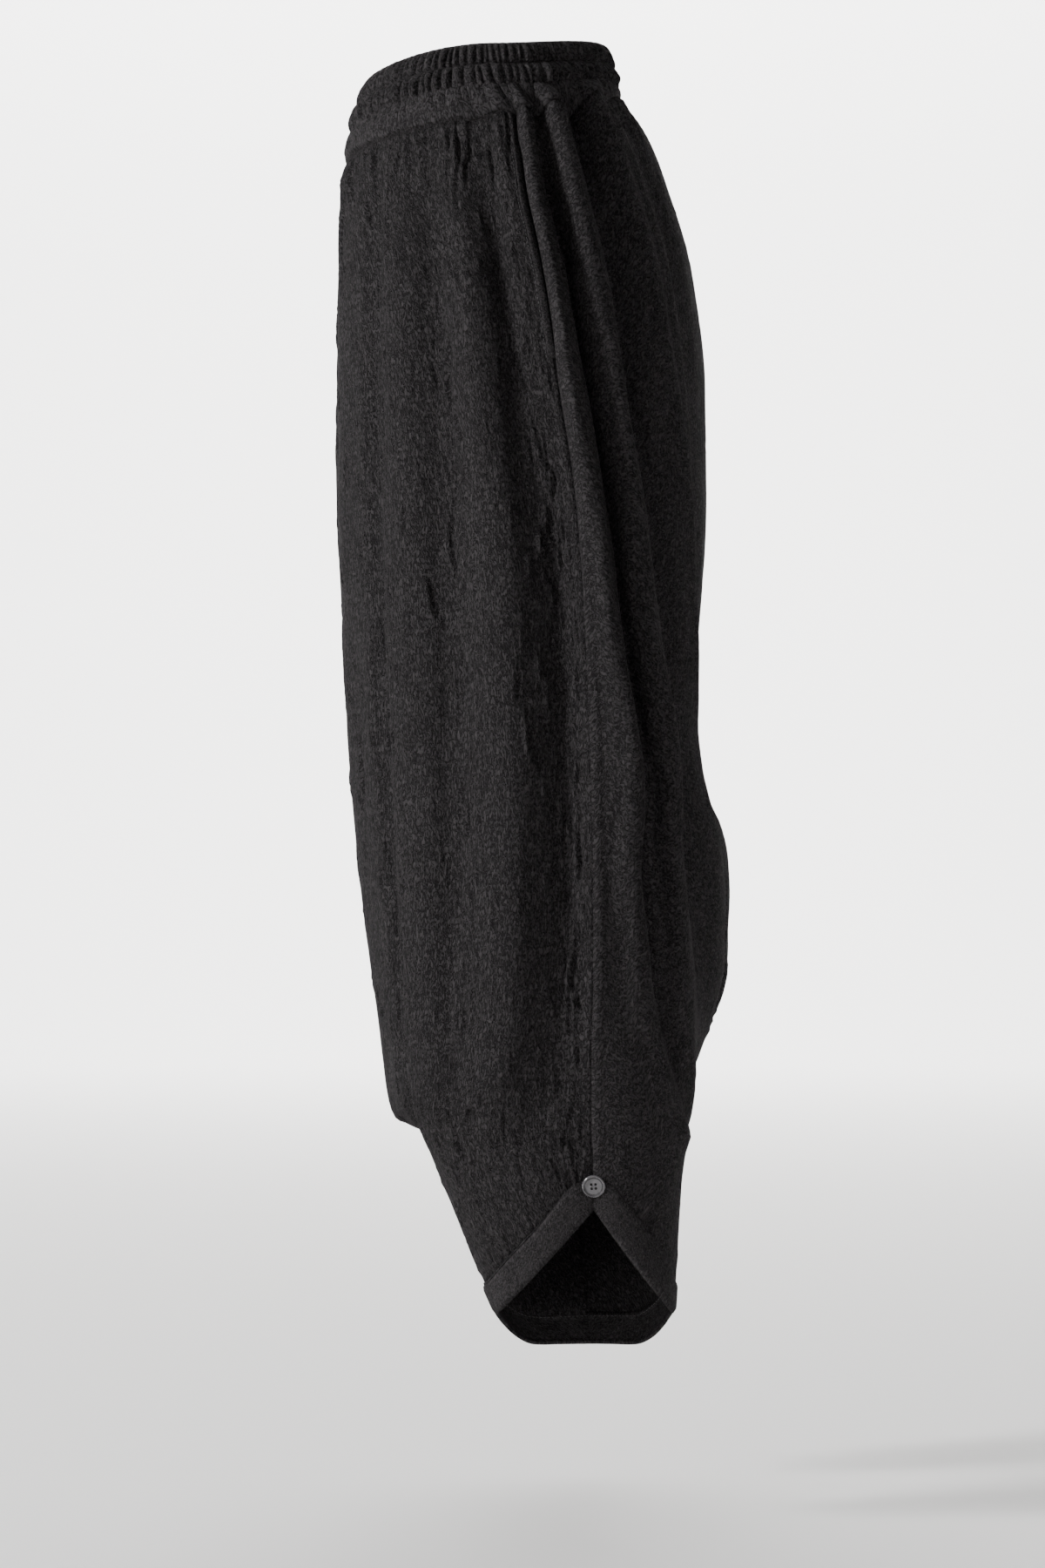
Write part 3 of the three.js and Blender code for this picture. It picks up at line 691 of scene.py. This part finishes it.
def waistShares():
    # For each column round the waist its quarter and its share of it, evenly spaced along the cloth.
    dense = np.linspace(0, 1, 400)
    quarters = [("front", 1), ("back", 1), ("back", -1), ("front", -1)]
    lengths = []
    for part, _ in quarters:
        step = np.linalg.norm(np.diff(quarterCurve(waistLines["middle"], part, dense), axis=0), axis=1)
        lengths.append(np.concatenate([[0], np.cumsum(step)]))
    total = sum(length[-1] for length in lengths)
    columns = []
    start = 0.0
    for (part, mirror), length in zip(quarters, lengths):
        count = round(waistColumns * length[-1] / total)
        ahead = np.arange(count) / count
        outward = (part == "front") == (mirror == 1)
        share = np.interp((ahead if outward else 1 - ahead) * length[-1], length, dense)
        arc = (start + ahead * length[-1]) / mm
        columns.append({"part": part, "mirror": mirror, "s": share, "arc": arc})
        start += length[-1]
    return columns, total / mm


waistQuarters, waistRound = waistShares()
waistArc = np.concatenate([quarter["arc"] for quarter in waistQuarters])


def bandRing(lineName):
    # One closed ring of points on a stitched line, each quarter mirrored to its own side.
    return np.concatenate([quarterCurve(waistLines[lineName], quarter["part"], quarter["s"])
                           * np.array([quarter["mirror"], 1, 1]) for quarter in waistQuarters])


def panelTopRing():
    # The panels' own top edge, through the frame's columns.
    pieces = []
    for quarter in waistQuarters:
        side = "left" if quarter["mirror"] == 1 else "right"
        top = panels[f"{quarter['part']}_{side}"]["top"]
        pieces.append(along(top[:, None, :], quarter["s"] * frameColumns)[:, 0])
    return np.concatenate(pieces)


def ringOutward(ring):
    # The level directions out of a ring, judged over three points either way.
    ahead = np.roll(ring, -3, axis=0) - np.roll(ring, 3, axis=0)
    out = np.column_stack([ahead[:, 1], -ahead[:, 0], np.zeros(len(ring))])
    out /= np.linalg.norm(out, axis=1, keepdims=True)
    if (out * ring).sum() < 0:
        out = -out
    return out


# The gathers all round: how much wider they lie at the front, how high the ridges are, the most that
# a wide one rises over the others, and how round they are.
gatherShape = Values(widerInFront=0.35, heights=(0.55, 1.2), most=1.3, round=0.8)


def gatherBulges(seed, narrow, wide, lean, shares):
    # The bulge of the cloth between uneven gathers, 0 in a valley and about 1 on a ridge, in rows at
    # these shares of the way up the cloth, over which the valleys lean.
    chance = random.Random(seed)
    valleys = [0.0]
    while valleys[-1] < waistRound - wide:
        place = valleys[-1] / waistRound
        near = 0.5 + 0.5 * math.cos(2 * math.pi * place)
        wider = 1 + gatherShape.widerInFront * near
        valleys.append(valleys[-1] + chance.uniform(narrow, wide) * wider)
    valleys[-1] = waistRound
    leans = [chance.uniform(-lean, lean) for _ in valleys]
    heights = np.array([chance.uniform(*gatherShape.heights) for _ in valleys])
    leans[-1] = leans[0]
    rows = []
    for share in shares:
        moved = np.array(valleys) + np.array(leans) * (share - 0.5)
        arc = np.mod(waistArc - moved[0], waistRound) + moved[0]
        k = np.clip(np.searchsorted(moved, arc, side="right") - 1, 0, len(valleys) - 2)
        t = (arc - moved[k]) / (moved[k + 1] - moved[k])
        room = np.minimum((moved[k + 1] - moved[k]) / (narrow + wide) * 2, gatherShape.most)
        rows.append(np.sin(math.pi * np.clip(t, 0, 1)) ** gatherShape.round * heights[k] * room)
    return np.array(rows)


def ringPiece(name, rows, material, thickness, closedDown):
    # rows of rings make one sheet round the waist, closed down the rows too where it is a tube.
    points = np.concatenate([rows, rows[:, :1]], axis=1)
    if closedDown:
        points = np.concatenate([points, points[:1]], axis=0)
    arc = np.concatenate([waistArc, [waistRound]]) * mm
    stepDown = np.linalg.norm(np.diff(points, axis=0), axis=2).mean(axis=1)
    down = np.concatenate([[0], np.cumsum(stepDown)])
    places = np.stack(np.broadcast_arrays(arc[None, :], -down[:, None]), axis=2)
    middle = points[len(points) // 3, 0]
    piece = gridPiece(name, points, places, material, middle * 1.4, thickness)
    joined = bmesh.new()
    joined.from_mesh(piece.data)
    bmesh.ops.remove_doubles(joined, verts=joined.verts, dist=0.001 * mm)
    if closedDown:
        bmesh.ops.recalc_face_normals(joined, faces=joined.faces)
    joined.to_mesh(piece.data)
    joined.free()
    return piece


# The waistband is a tube of cloth. Its profile has rows at these shares of a channel's height, and an
# inner face at these depths in millimetres behind the stitched lines. The gathers are lower at those
# lines, and the thread draws the cloth in at the middle one.
bandProfile = Values(
    rows=[0.0, 0.05, 0.12, 0.22, 0.34, 0.46, 0.58, 0.70, 0.81, 0.90, 0.96, 1.0],
    inner=(("top", 4.6), ("middle", 5.8), ("bottom", 4.8)),
    puffRound=0.7, atLine=0.32, atLineRound=0.6, drawn=1.5, drawnReach=0.06
)
gatherMiddle = 0.6  # the mean of the gathers' bulges

# Each channel from its lower line to its upper one: how far the elastic puffs it out and the gathers
# stand, the gathers' spacing and lean, and how far it lies behind its line, all in millimetres.
channels = [
    {"low": "bottom", "high": "middle", "puff": 3.8, "gather": 4.2, "seed": 4, "narrow": 3.6,
     "wide": 8.4, "lean": 2.6, "inset": 1.9, "insetUp": 0.0, "drawnAt": 1.0},
    {"low": "middle", "high": "top", "puff": 2.6, "gather": 3.6, "seed": 9, "narrow": 3.4,
     "wide": 7.6, "lean": 2.2, "inset": 2.7, "insetUp": 0.7, "drawnAt": 0.0},
]


def channelRow(channel, share, rings, out, bulges):
    # One row of a gathered channel, between its two stitched lines.
    low, high = rings[channel["low"]], rings[channel["high"]]
    rise = math.sin(math.pi * share)
    pinch = bandProfile.atLine + (1 - bandProfile.atLine) * rise ** bandProfile.atLineRound
    lift = channel["puff"] * rise ** bandProfile.puffRound
    lift -= bandProfile.drawn * bell(share - channel["drawnAt"], bandProfile.drawnReach)
    lift -= channel["inset"] + channel["insetUp"] * share
    lift = lift + channel["gather"] * pinch * (bulges - gatherMiddle)
    return low + (high - low) * share + out * (lift * mm)[:, None]


def makeWaistband():
    rings = {lineName: bandRing(lineName) for lineName in waistLines}
    out = ringOutward(rings["middle"])
    rows = []
    for channel in channels:
        spacing = [channel[key] for key in ("seed", "narrow", "wide", "lean")]
        for share, bulges in zip(bandProfile.rows, gatherBulges(*spacing, bandProfile.rows)):
            rows.append(channelRow(channel, share, rings, out, bulges))
    for lineName, depth in bandProfile.inner:
        rows.append(rings[lineName] - out * depth * mm)
    piece = ringPiece("waistbandCloth", np.array(rows), cloths["band"], 0.0, True)
    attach(piece, "root")
    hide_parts("waistband")
    return piece, rings, out


# The yoke's form in millimetres, and its places as shares of its height: its sag between its seams,
# the roll beside the panels' seam and the groove in it, its gathers below the waistband and the
# broader waves under them, with the seed, spacing and lean of each.
yoke = Values(
    above=0.8, behind=1.6, sag=2.2, sagRound=0.8, roll=0.9, rollAt=0.08, rollWidth=0.05,
    grooveWidth=0.03, gather=2.3, gathers=(17, 4.0, 10.5, 6.0), tightTo=0.8,
    wave=2.0, waves=(23, 14.0, 30.0, 12.0), waveFrom=0.3, waveMiddle=0.5
)
# How far its edges go on behind the panels and into the waistband, inwards and then up.
yokeEdges = {"low": (-2.4, -4.0), "high": (-1.4, 2.2)}


def makeYoke(rings, out):
    # The yoke is gathered where it meets the waistband and lets go towards the panels' seam.
    upwards = np.array([0, 0, mm])
    low = panelTopRing() + yoke.above * upwards
    lowOut = ringOutward(low)
    high = rings["bottom"] - out * yoke.behind * mm
    shares = np.concatenate([[0, 0.03, 0.07], np.linspace(0.12, 1.0, 20)])  # closer at its low seam
    rows = []
    for share, bulges, waves in zip(shares, gatherBulges(*yoke.gathers, shares),
                                    gatherBulges(*yoke.waves, shares)):
        tight = smoothstep(share, 0.0, yoke.tightTo)
        loose = smoothstep(share, 0, yoke.waveFrom) * (1 - tight)
        roll = bell(share - yoke.rollAt, yoke.rollWidth) - bell(share, yoke.grooveWidth)
        lift = yoke.sag * math.sin(math.pi * share) ** yoke.sagRound + yoke.roll * roll
        lift = lift + yoke.gather * tight * (bulges - gatherMiddle)
        lift += yoke.wave * loose * (waves - yoke.waveMiddle)
        facing = lowOut * (1 - share) + out * share
        rows.append(low + (high - low) * share + facing * (lift * mm)[:, None])
    inwards, up = yokeEdges["low"]
    under = low + lowOut * inwards * mm + up * upwards
    inwards, up = yokeEdges["high"]
    into = high + out * inwards * mm + up * upwards
    rows = np.array([under, *rows, into])
    piece = ringPiece("yokeCloth", rows, cloths["band"], clothWall, False)
    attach(piece, "root")
    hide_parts("yoke")
    return piece


waistbandPiece, waistRings, waistOut = makeWaistband()
yokePiece = makeYoke(waistRings, waistOut)
print("waistband and yoke ready")


# Hems: the cloth turned up and stitched, pressed smoother than the panel above it. In millimetres:
# the step down to the panel above the stitches, the swell below them, how the fold and the side seam
# turn in, and how deep the button presses in and how far round it. The stitched line's row is looked
# for in the column `sampled`.
hemMesh = Values(columns=230, rows=26, wall=2.6 * mm, stitchAt=1.8, past=1.3,
                 sampled=60)
hemForm = Values(
    waves=((0.5, 34, 40), (0.16, 7, 9)), step=1.6, stepWidth=0.8, swell=0.5, swellSpan=(2.6, 5),
    fold=1.1, foldWidth=1.1, side=0.7, sideWidth=1.2, dimple=2.4, dimpleReach=11.0
)


def makeHem(nodeName):
    part, side = nodeName.split("_")[1:]

    def topOfInseam(vertex):
        return abs(vertex.co.x)

    grid = gridOf(nodeName, topOfInseam)
    points = refined(grid, np.linspace(0, 1, hemMesh.rows), np.linspace(0, 1, hemMesh.columns))
    normals, probe = facingOut(points, side, hemMesh.rows // 2)
    places = clothPlaces(points)
    fromSide = -places[:, :, 0] / mm
    fromTop = -places[:, :, 1] / mm
    fromBottom = fromTop[-1:, :] - fromTop
    seed = 31 + sorted(("front", "back")).index(part) + 2 * (side == "left")
    lift = 0
    for (height, across, down), wavesSeed in zip(hemForm.waves, (seed, seed + 3)):
        lift = lift + height * unevenness(places, across, down, wavesSeed)
    pastStitches = fromTop - hemMesh.stitchAt
    lift -= hemForm.step * (1 - smoothstep(pastStitches, 0, hemForm.stepWidth))
    lift += hemForm.swell * smoothstep(fromTop, *hemForm.swellSpan)
    lift -= hemForm.fold * bell(fromBottom, hemForm.foldWidth)
    lift -= hemForm.side * bell(fromSide, hemForm.sideWidth)
    sewnAt = np.array([v.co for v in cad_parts[f"button_{side}"].data.vertices]).mean(axis=0)
    fromButton = np.linalg.norm(points - sewnAt, axis=2) / mm
    lift -= hemForm.dimple * np.exp(-(fromButton / hemForm.dimpleReach) ** 4)
    finished = overSeams(points + normals * (lift * mm)[:, :, None], hemMesh.past)
    outward = finished[probe] + normals[probe] * outside
    piece = gridPiece(f"{nodeName}_cloth", finished, places, cloths["hem"], outward, hemMesh.wall)
    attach(piece, "root")
    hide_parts(nodeName)
    return {"piece": piece, "points": finished, "normals": normals, "places": places}


hems = {nodeName: makeHem(nodeName)
        for nodeName in ("hem_front_left", "hem_front_right", "hem_back_left", "hem_back_right")}
print("hems ready")


# Pocket mouth: the front panel's edge turned under into a soft roll, in millimetres. It swells between
# its ends, stands off the panel, and its free edge ends tucked under itself.
pocketRoll = Values(profile=11, wall=0.9 * mm, round=0.8, off=0.9, tuckedFrom=2.4, tucked=0.6,
                    end=(0.9, -1.4), topEnd=(0.4, 0.05), bottomEnd=(0.6, 0.06), inwardColumn=-12)


def makePocketEdge(side):
    panel = panels[f"front_{side}"]
    points, normals, places = panel["points"], panel["normals"], panel["places"]
    heights = points[:, -1, 2] / mm
    rows = [k for k, z in enumerate(heights) if pocket.bottom <= z <= pocket.top]
    seam, out = points[rows, -1], normals[rows, -1]
    inward = points[rows, pocketRoll.inwardColumn] - seam
    inward /= np.linalg.norm(inward, axis=1, keepdims=True)
    span = np.linspace(0, 1, len(rows))
    # Round the roll from its stitched line over its top and under its edge.
    profile = []
    for k in range(pocketRoll.profile):
        turn = math.pi * k / (pocketRoll.profile - 1)
        width = pocket.width * (0.5 + 0.5 * math.cos(turn))
        tucked = pocketRoll.tucked * (turn > pocketRoll.tuckedFrom)
        profile.append((width - tucked, pocket.lip * math.sin(turn) ** pocketRoll.round))
    profile.append(pocketRoll.end)
    swell = 1
    for (less, reach), fromEnd in ((pocketRoll.topEnd, span), (pocketRoll.bottomEnd, 1 - span)):
        swell = swell - less * bell(fromEnd, reach)
    grid = np.stack([seam + inward * (across * mm) + out * ((rise * swell + pocketRoll.off)[:, None] * mm)
                     for across, rise in profile], axis=1)
    middle = len(rows) // 2
    outward = grid[middle, pocketRoll.profile // 2] + out[middle] * outside
    piece = gridPiece(f"pocket_edge_{side}_cloth", grid, clothPlaces(grid), cloths["hem"], outward,
                      pocketRoll.wall)
    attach(piece, "root")
    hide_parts(f"pocket_edge_{side}")
    return {"piece": piece, "rows": rows}


pocketEdges = {side: makePocketEdge(side) for side in ("left", "right")}
print("pocket edges ready")


# Stitches: short thread segments sunk a little in the cloth, in millimetres. The pocket's run a little
# inside its roll.
stitch = Values(length=2.5, gap=0.8, thick=0.42, offHem=0.15, offPanel=0.45, pastRoll=0.6)


def stitchPath(path, outs):
    # Places and directions of the stitches along a line of points.
    steps = np.linalg.norm(np.diff(path, axis=0), axis=1)
    length = np.concatenate([[0], np.cumsum(steps)])
    pitch = (stitch.length + stitch.gap) * mm
    middles = np.arange(pitch / 2, length[-1] - pitch / 2, pitch)

    def at(values, where):
        return np.column_stack([np.interp(where, length, values[:, k]) for k in range(3)])

    half = stitch.length / 2 * mm
    return at(path, middles), at(path, middles + half) - at(path, middles - half), at(outs, middles)


def makeStitches(name, paths):
    row = bmesh.new()
    for path, outs in paths:
        for middle, run, out in zip(*stitchPath(path, outs)):
            run, out = Vector(run).normalized(), Vector(out).normalized()
            side = out.cross(run).normalized()
            turn = Matrix((run, side, out)).transposed().to_4x4()
            length, thick = stitch.length / 2 * mm, stitch.thick / 2 * mm
            size = Matrix.Diagonal((length, thick, thick, 1))
            bmesh.ops.create_uvsphere(row, u_segments=6, v_segments=4, radius=1,
                                      matrix=Matrix.Translation(Vector(middle)) @ turn @ size)
    piece = meshPiece(name, row, thread)
    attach(piece, "root")


def hemStitchLine(hem):
    # The grid's row that comes nearest to the stitched line, away from the seams.
    row = int(np.argmin(np.abs(-hem["places"][:, hemMesh.sampled, 1] / mm - hemMesh.stitchAt)))
    return hem["points"][row] + hem["normals"][row] * stitch.offHem * mm, hem["normals"][row]


def pocketStitchLine(side):
    panel = panels[f"front_{side}"]
    rows = pocketEdges[side]["rows"]
    path, outs = [], []
    for row in rows:
        across = -panel["places"][row, :, 0] / mm
        column = int(np.argmin(np.abs(across - pocket.width - stitch.pastRoll)))
        out = panel["normals"][row, column]
        path.append(panel["points"][row, column] + out * stitch.offPanel * mm)
        outs.append(out)
    return np.array(path), np.array(outs)


makeStitches("hemStitches", [hemStitchLine(hem) for hem in hems.values()])
makeStitches("pocketStitches", [pocketStitchLine(side) for side in pocketEdges])
print("stitches ready")


# Buttons: a turned disc with a raised rim and four holes crossed by thread, in millimetres.
button = Values(faceZ=2.1, hole=2.1, holeReach=1.6, steps=64, holeSteps=20)
buttonTwist = {"left": 4, "right": -9}  # degrees the holes stand off upright
# The sewing: how far apart the strands lie and how high, half a strand's length, width and thickness,
# and the wound shank between the button and the cloth.
sewn = Values(apart=0.24, height=0.5, strand=(1.7, 0.17, 0.25),
              shankRadii=(1.7, 1.4), shankLength=2.2, shankMiddle=-0.7)
# Radius and height of the turned profile from the flat face over the rim to the flat back.
buttonProfile = [(4.0, 2.1), (6.4, 2.1), (6.9, 1.5), (7.3, 1.6), (7.7, 2.8), (8.2, 3.05), (8.7, 2.7),
                 (9.0, 2.0), (9.0, 1.1), (8.7, 0.5), (8.0, 0.1), (6.5, 0.0)]


def circleOf(mesh, x, y, z, radius, steps):
    turns = [math.tau * k / steps for k in range(steps)]
    return [mesh.verts.new(((x + radius * math.cos(t)) * mm, (y + radius * math.sin(t)) * mm, z * mm))
            for t in turns]


def bridged(mesh, low, high):
    for k in range(len(low)):
        after = (k + 1) % len(low)
        mesh.faces.new((low[k], low[after], high[after], high[k]))


def filledAround(mesh, outer, holes):
    # A flat face inside a ring of points, less its holes.
    edges = [mesh.edges.get((loop[k - 1], loop[k]))
             for loop in [outer, *holes] for k in range(len(loop))]
    bmesh.ops.triangle_fill(mesh, use_beauty=True, edges=edges, normal=(0, 0, 1))


def buttonFrame(nodeName):
    # The centre of the node's back and the direction out of it.
    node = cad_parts[nodeName]
    points = np.array([node.matrix_world @ v.co for v in node.data.vertices])
    centre = points.mean(axis=0)
    axis = np.linalg.svd(points - centre)[2][2]
    if axis[0] * centre[0] < 0:
        axis = -axis
    back = ((points - centre) @ axis).min()
    return Vector(centre + axis * back), Vector(axis)


def makeButton(side):
    nodeName = f"button_{side}"
    back, axis = buttonFrame(nodeName)
    disc = bmesh.new()
    rings = [circleOf(disc, 0, 0, z, radius, button.steps) for radius, z in buttonProfile]
    for low, high in zip(rings, rings[1:]):
        bridged(disc, low, high)
    holes = {"face": [], "back": []}
    for x in (-1, 1):
        for y in (-1, 1):
            place = (x * button.holeReach, y * button.holeReach)
            pair = [circleOf(disc, *place, z, button.hole / 2, button.holeSteps)
                    for z in (button.faceZ, 0.0)]
            bridged(disc, *pair)
            holes["face"].append(pair[0])
            holes["back"].append(pair[1])
    filledAround(disc, rings[0], holes["face"])
    filledAround(disc, rings[-1], holes["back"])
    bmesh.ops.recalc_face_normals(disc, faces=disc.faces)
    piece = meshPiece(f"{nodeName}_resin", disc, resin)
    piece.data.set_sharp_from_angle(angle=math.radians(40))

    up = (Vector((0, 0, 1)) - axis * axis.z).normalized()
    across = up.cross(axis).normalized()
    turn = Matrix((across, up, axis)).transposed().to_4x4()
    twist = Matrix.Rotation(math.radians(buttonTwist[side]), 4, "Z")
    settle = Matrix.Translation(back) @ turn @ twist
    piece.data.transform(settle)
    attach(piece, "root")
    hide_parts(nodeName)

    sewing = bmesh.new()
    for y in (-1, 1):
        for k in (-1, 0, 1):
            middle = Vector((0, y * button.holeReach + k * sewn.apart, sewn.height)) * mm
            size = Matrix.Diagonal((*(half * mm for half in sewn.strand), 1))
            bmesh.ops.create_uvsphere(sewing, u_segments=10, v_segments=8, radius=1,
                                      matrix=Matrix.Translation(middle) @ size)
    low, high = sewn.shankRadii
    bmesh.ops.create_cone(sewing, cap_ends=True, segments=16, radius1=low * mm, radius2=high * mm,
                          depth=sewn.shankLength * mm,
                          matrix=Matrix.Translation((0, 0, sewn.shankMiddle * mm)))
    threadPiece = meshPiece(f"buttonThread_{side}", sewing, thread, False)
    threadPiece.data.transform(settle)
    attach(threadPiece, "root")


for side in ("left", "right"):
    makeButton(side)
print("buttons ready")


for nodeName, hem in hems.items():
    part, side = nodeName.split("_")[1:]


# Floor and light
stage = Values(floorZ=-1.137, radius=8.4, cove=2.1, height=5.0, coveSteps=12, steps=72)


def makeStage():
    # A pale round sweep: a floor that curves up into a wall on every side.
    sweep = bmesh.new()
    profile = [(0, stage.floorZ)]
    for k in range(stage.coveSteps + 1):
        turn = math.radians(90 * k / stage.coveSteps)
        profile.append((stage.radius - stage.cove * (1 - math.sin(turn)),
                        stage.floorZ + stage.cove * (1 - math.cos(turn))))
    profile.append((stage.radius, stage.height))
    line = [sweep.verts.new((x, 0, z)) for x, z in profile]
    edges = [sweep.edges.new(pair) for pair in zip(line, line[1:])]
    bmesh.ops.spin(sweep, geom=line + edges, cent=(0, 0, 0), axis=(0, 0, 1), angle=math.tau,
                   steps=stage.steps)
    bmesh.ops.remove_doubles(sweep, verts=sweep.verts, dist=0.1 * mm)
    paper, tree = newMaterial("seamlessPaper")
    finishMaterial(tree, {"Base Color": linearColour("f4f3f2"), "Roughness": 0.9})
    floor = meshPiece("paperSweep", sweep, paper)


def areaLight(name, place, aim, size, watts):
    lamp = bpy.data.lights.new(name, "AREA")
    lamp.shape = "RECTANGLE"
    lamp.size, lamp.size_y = size
    lamp.energy = watts
    light = placed(name, lamp)
    light.location = place
    light.rotation_euler = (Vector(aim) - Vector(place)).to_track_quat("-Z", "Y").to_euler()


makeStage()
# Name, place, the point it aims at, width and height in metres, and watts.
areaLight("keyLight", (1.7, -3.7, 1.1), (0, 0, -0.5), (0.7, 1.2), 270)
areaLight("fillLight", (3.8, -1.6, 0.8), (0, 0, -0.6), (1.2, 1.6), 6)
areaLight("topLight", (0.6, -1.2, 2.6), (0, 0, -0.5), (1.6, 1.6), 3)
areaLight("floorLight", (-3.0, 0, 3.0), (-3.2, 0, -1.1), (3.0, 5.0), 200)
areaLight("backdropLight", (-6.4, 0, 2.9), (-8.4, 0, -0.7), (5.0, 0.9), 620)
world = bpy.data.worlds.new("studio")
world.use_nodes = True
background = world.node_tree.nodes["Background"]
background.inputs["Color"].default_value = linearColour("f2f3f5")
background.inputs["Strength"].default_value = 0.015
bpy.context.scene.world = world
print("stage ready")
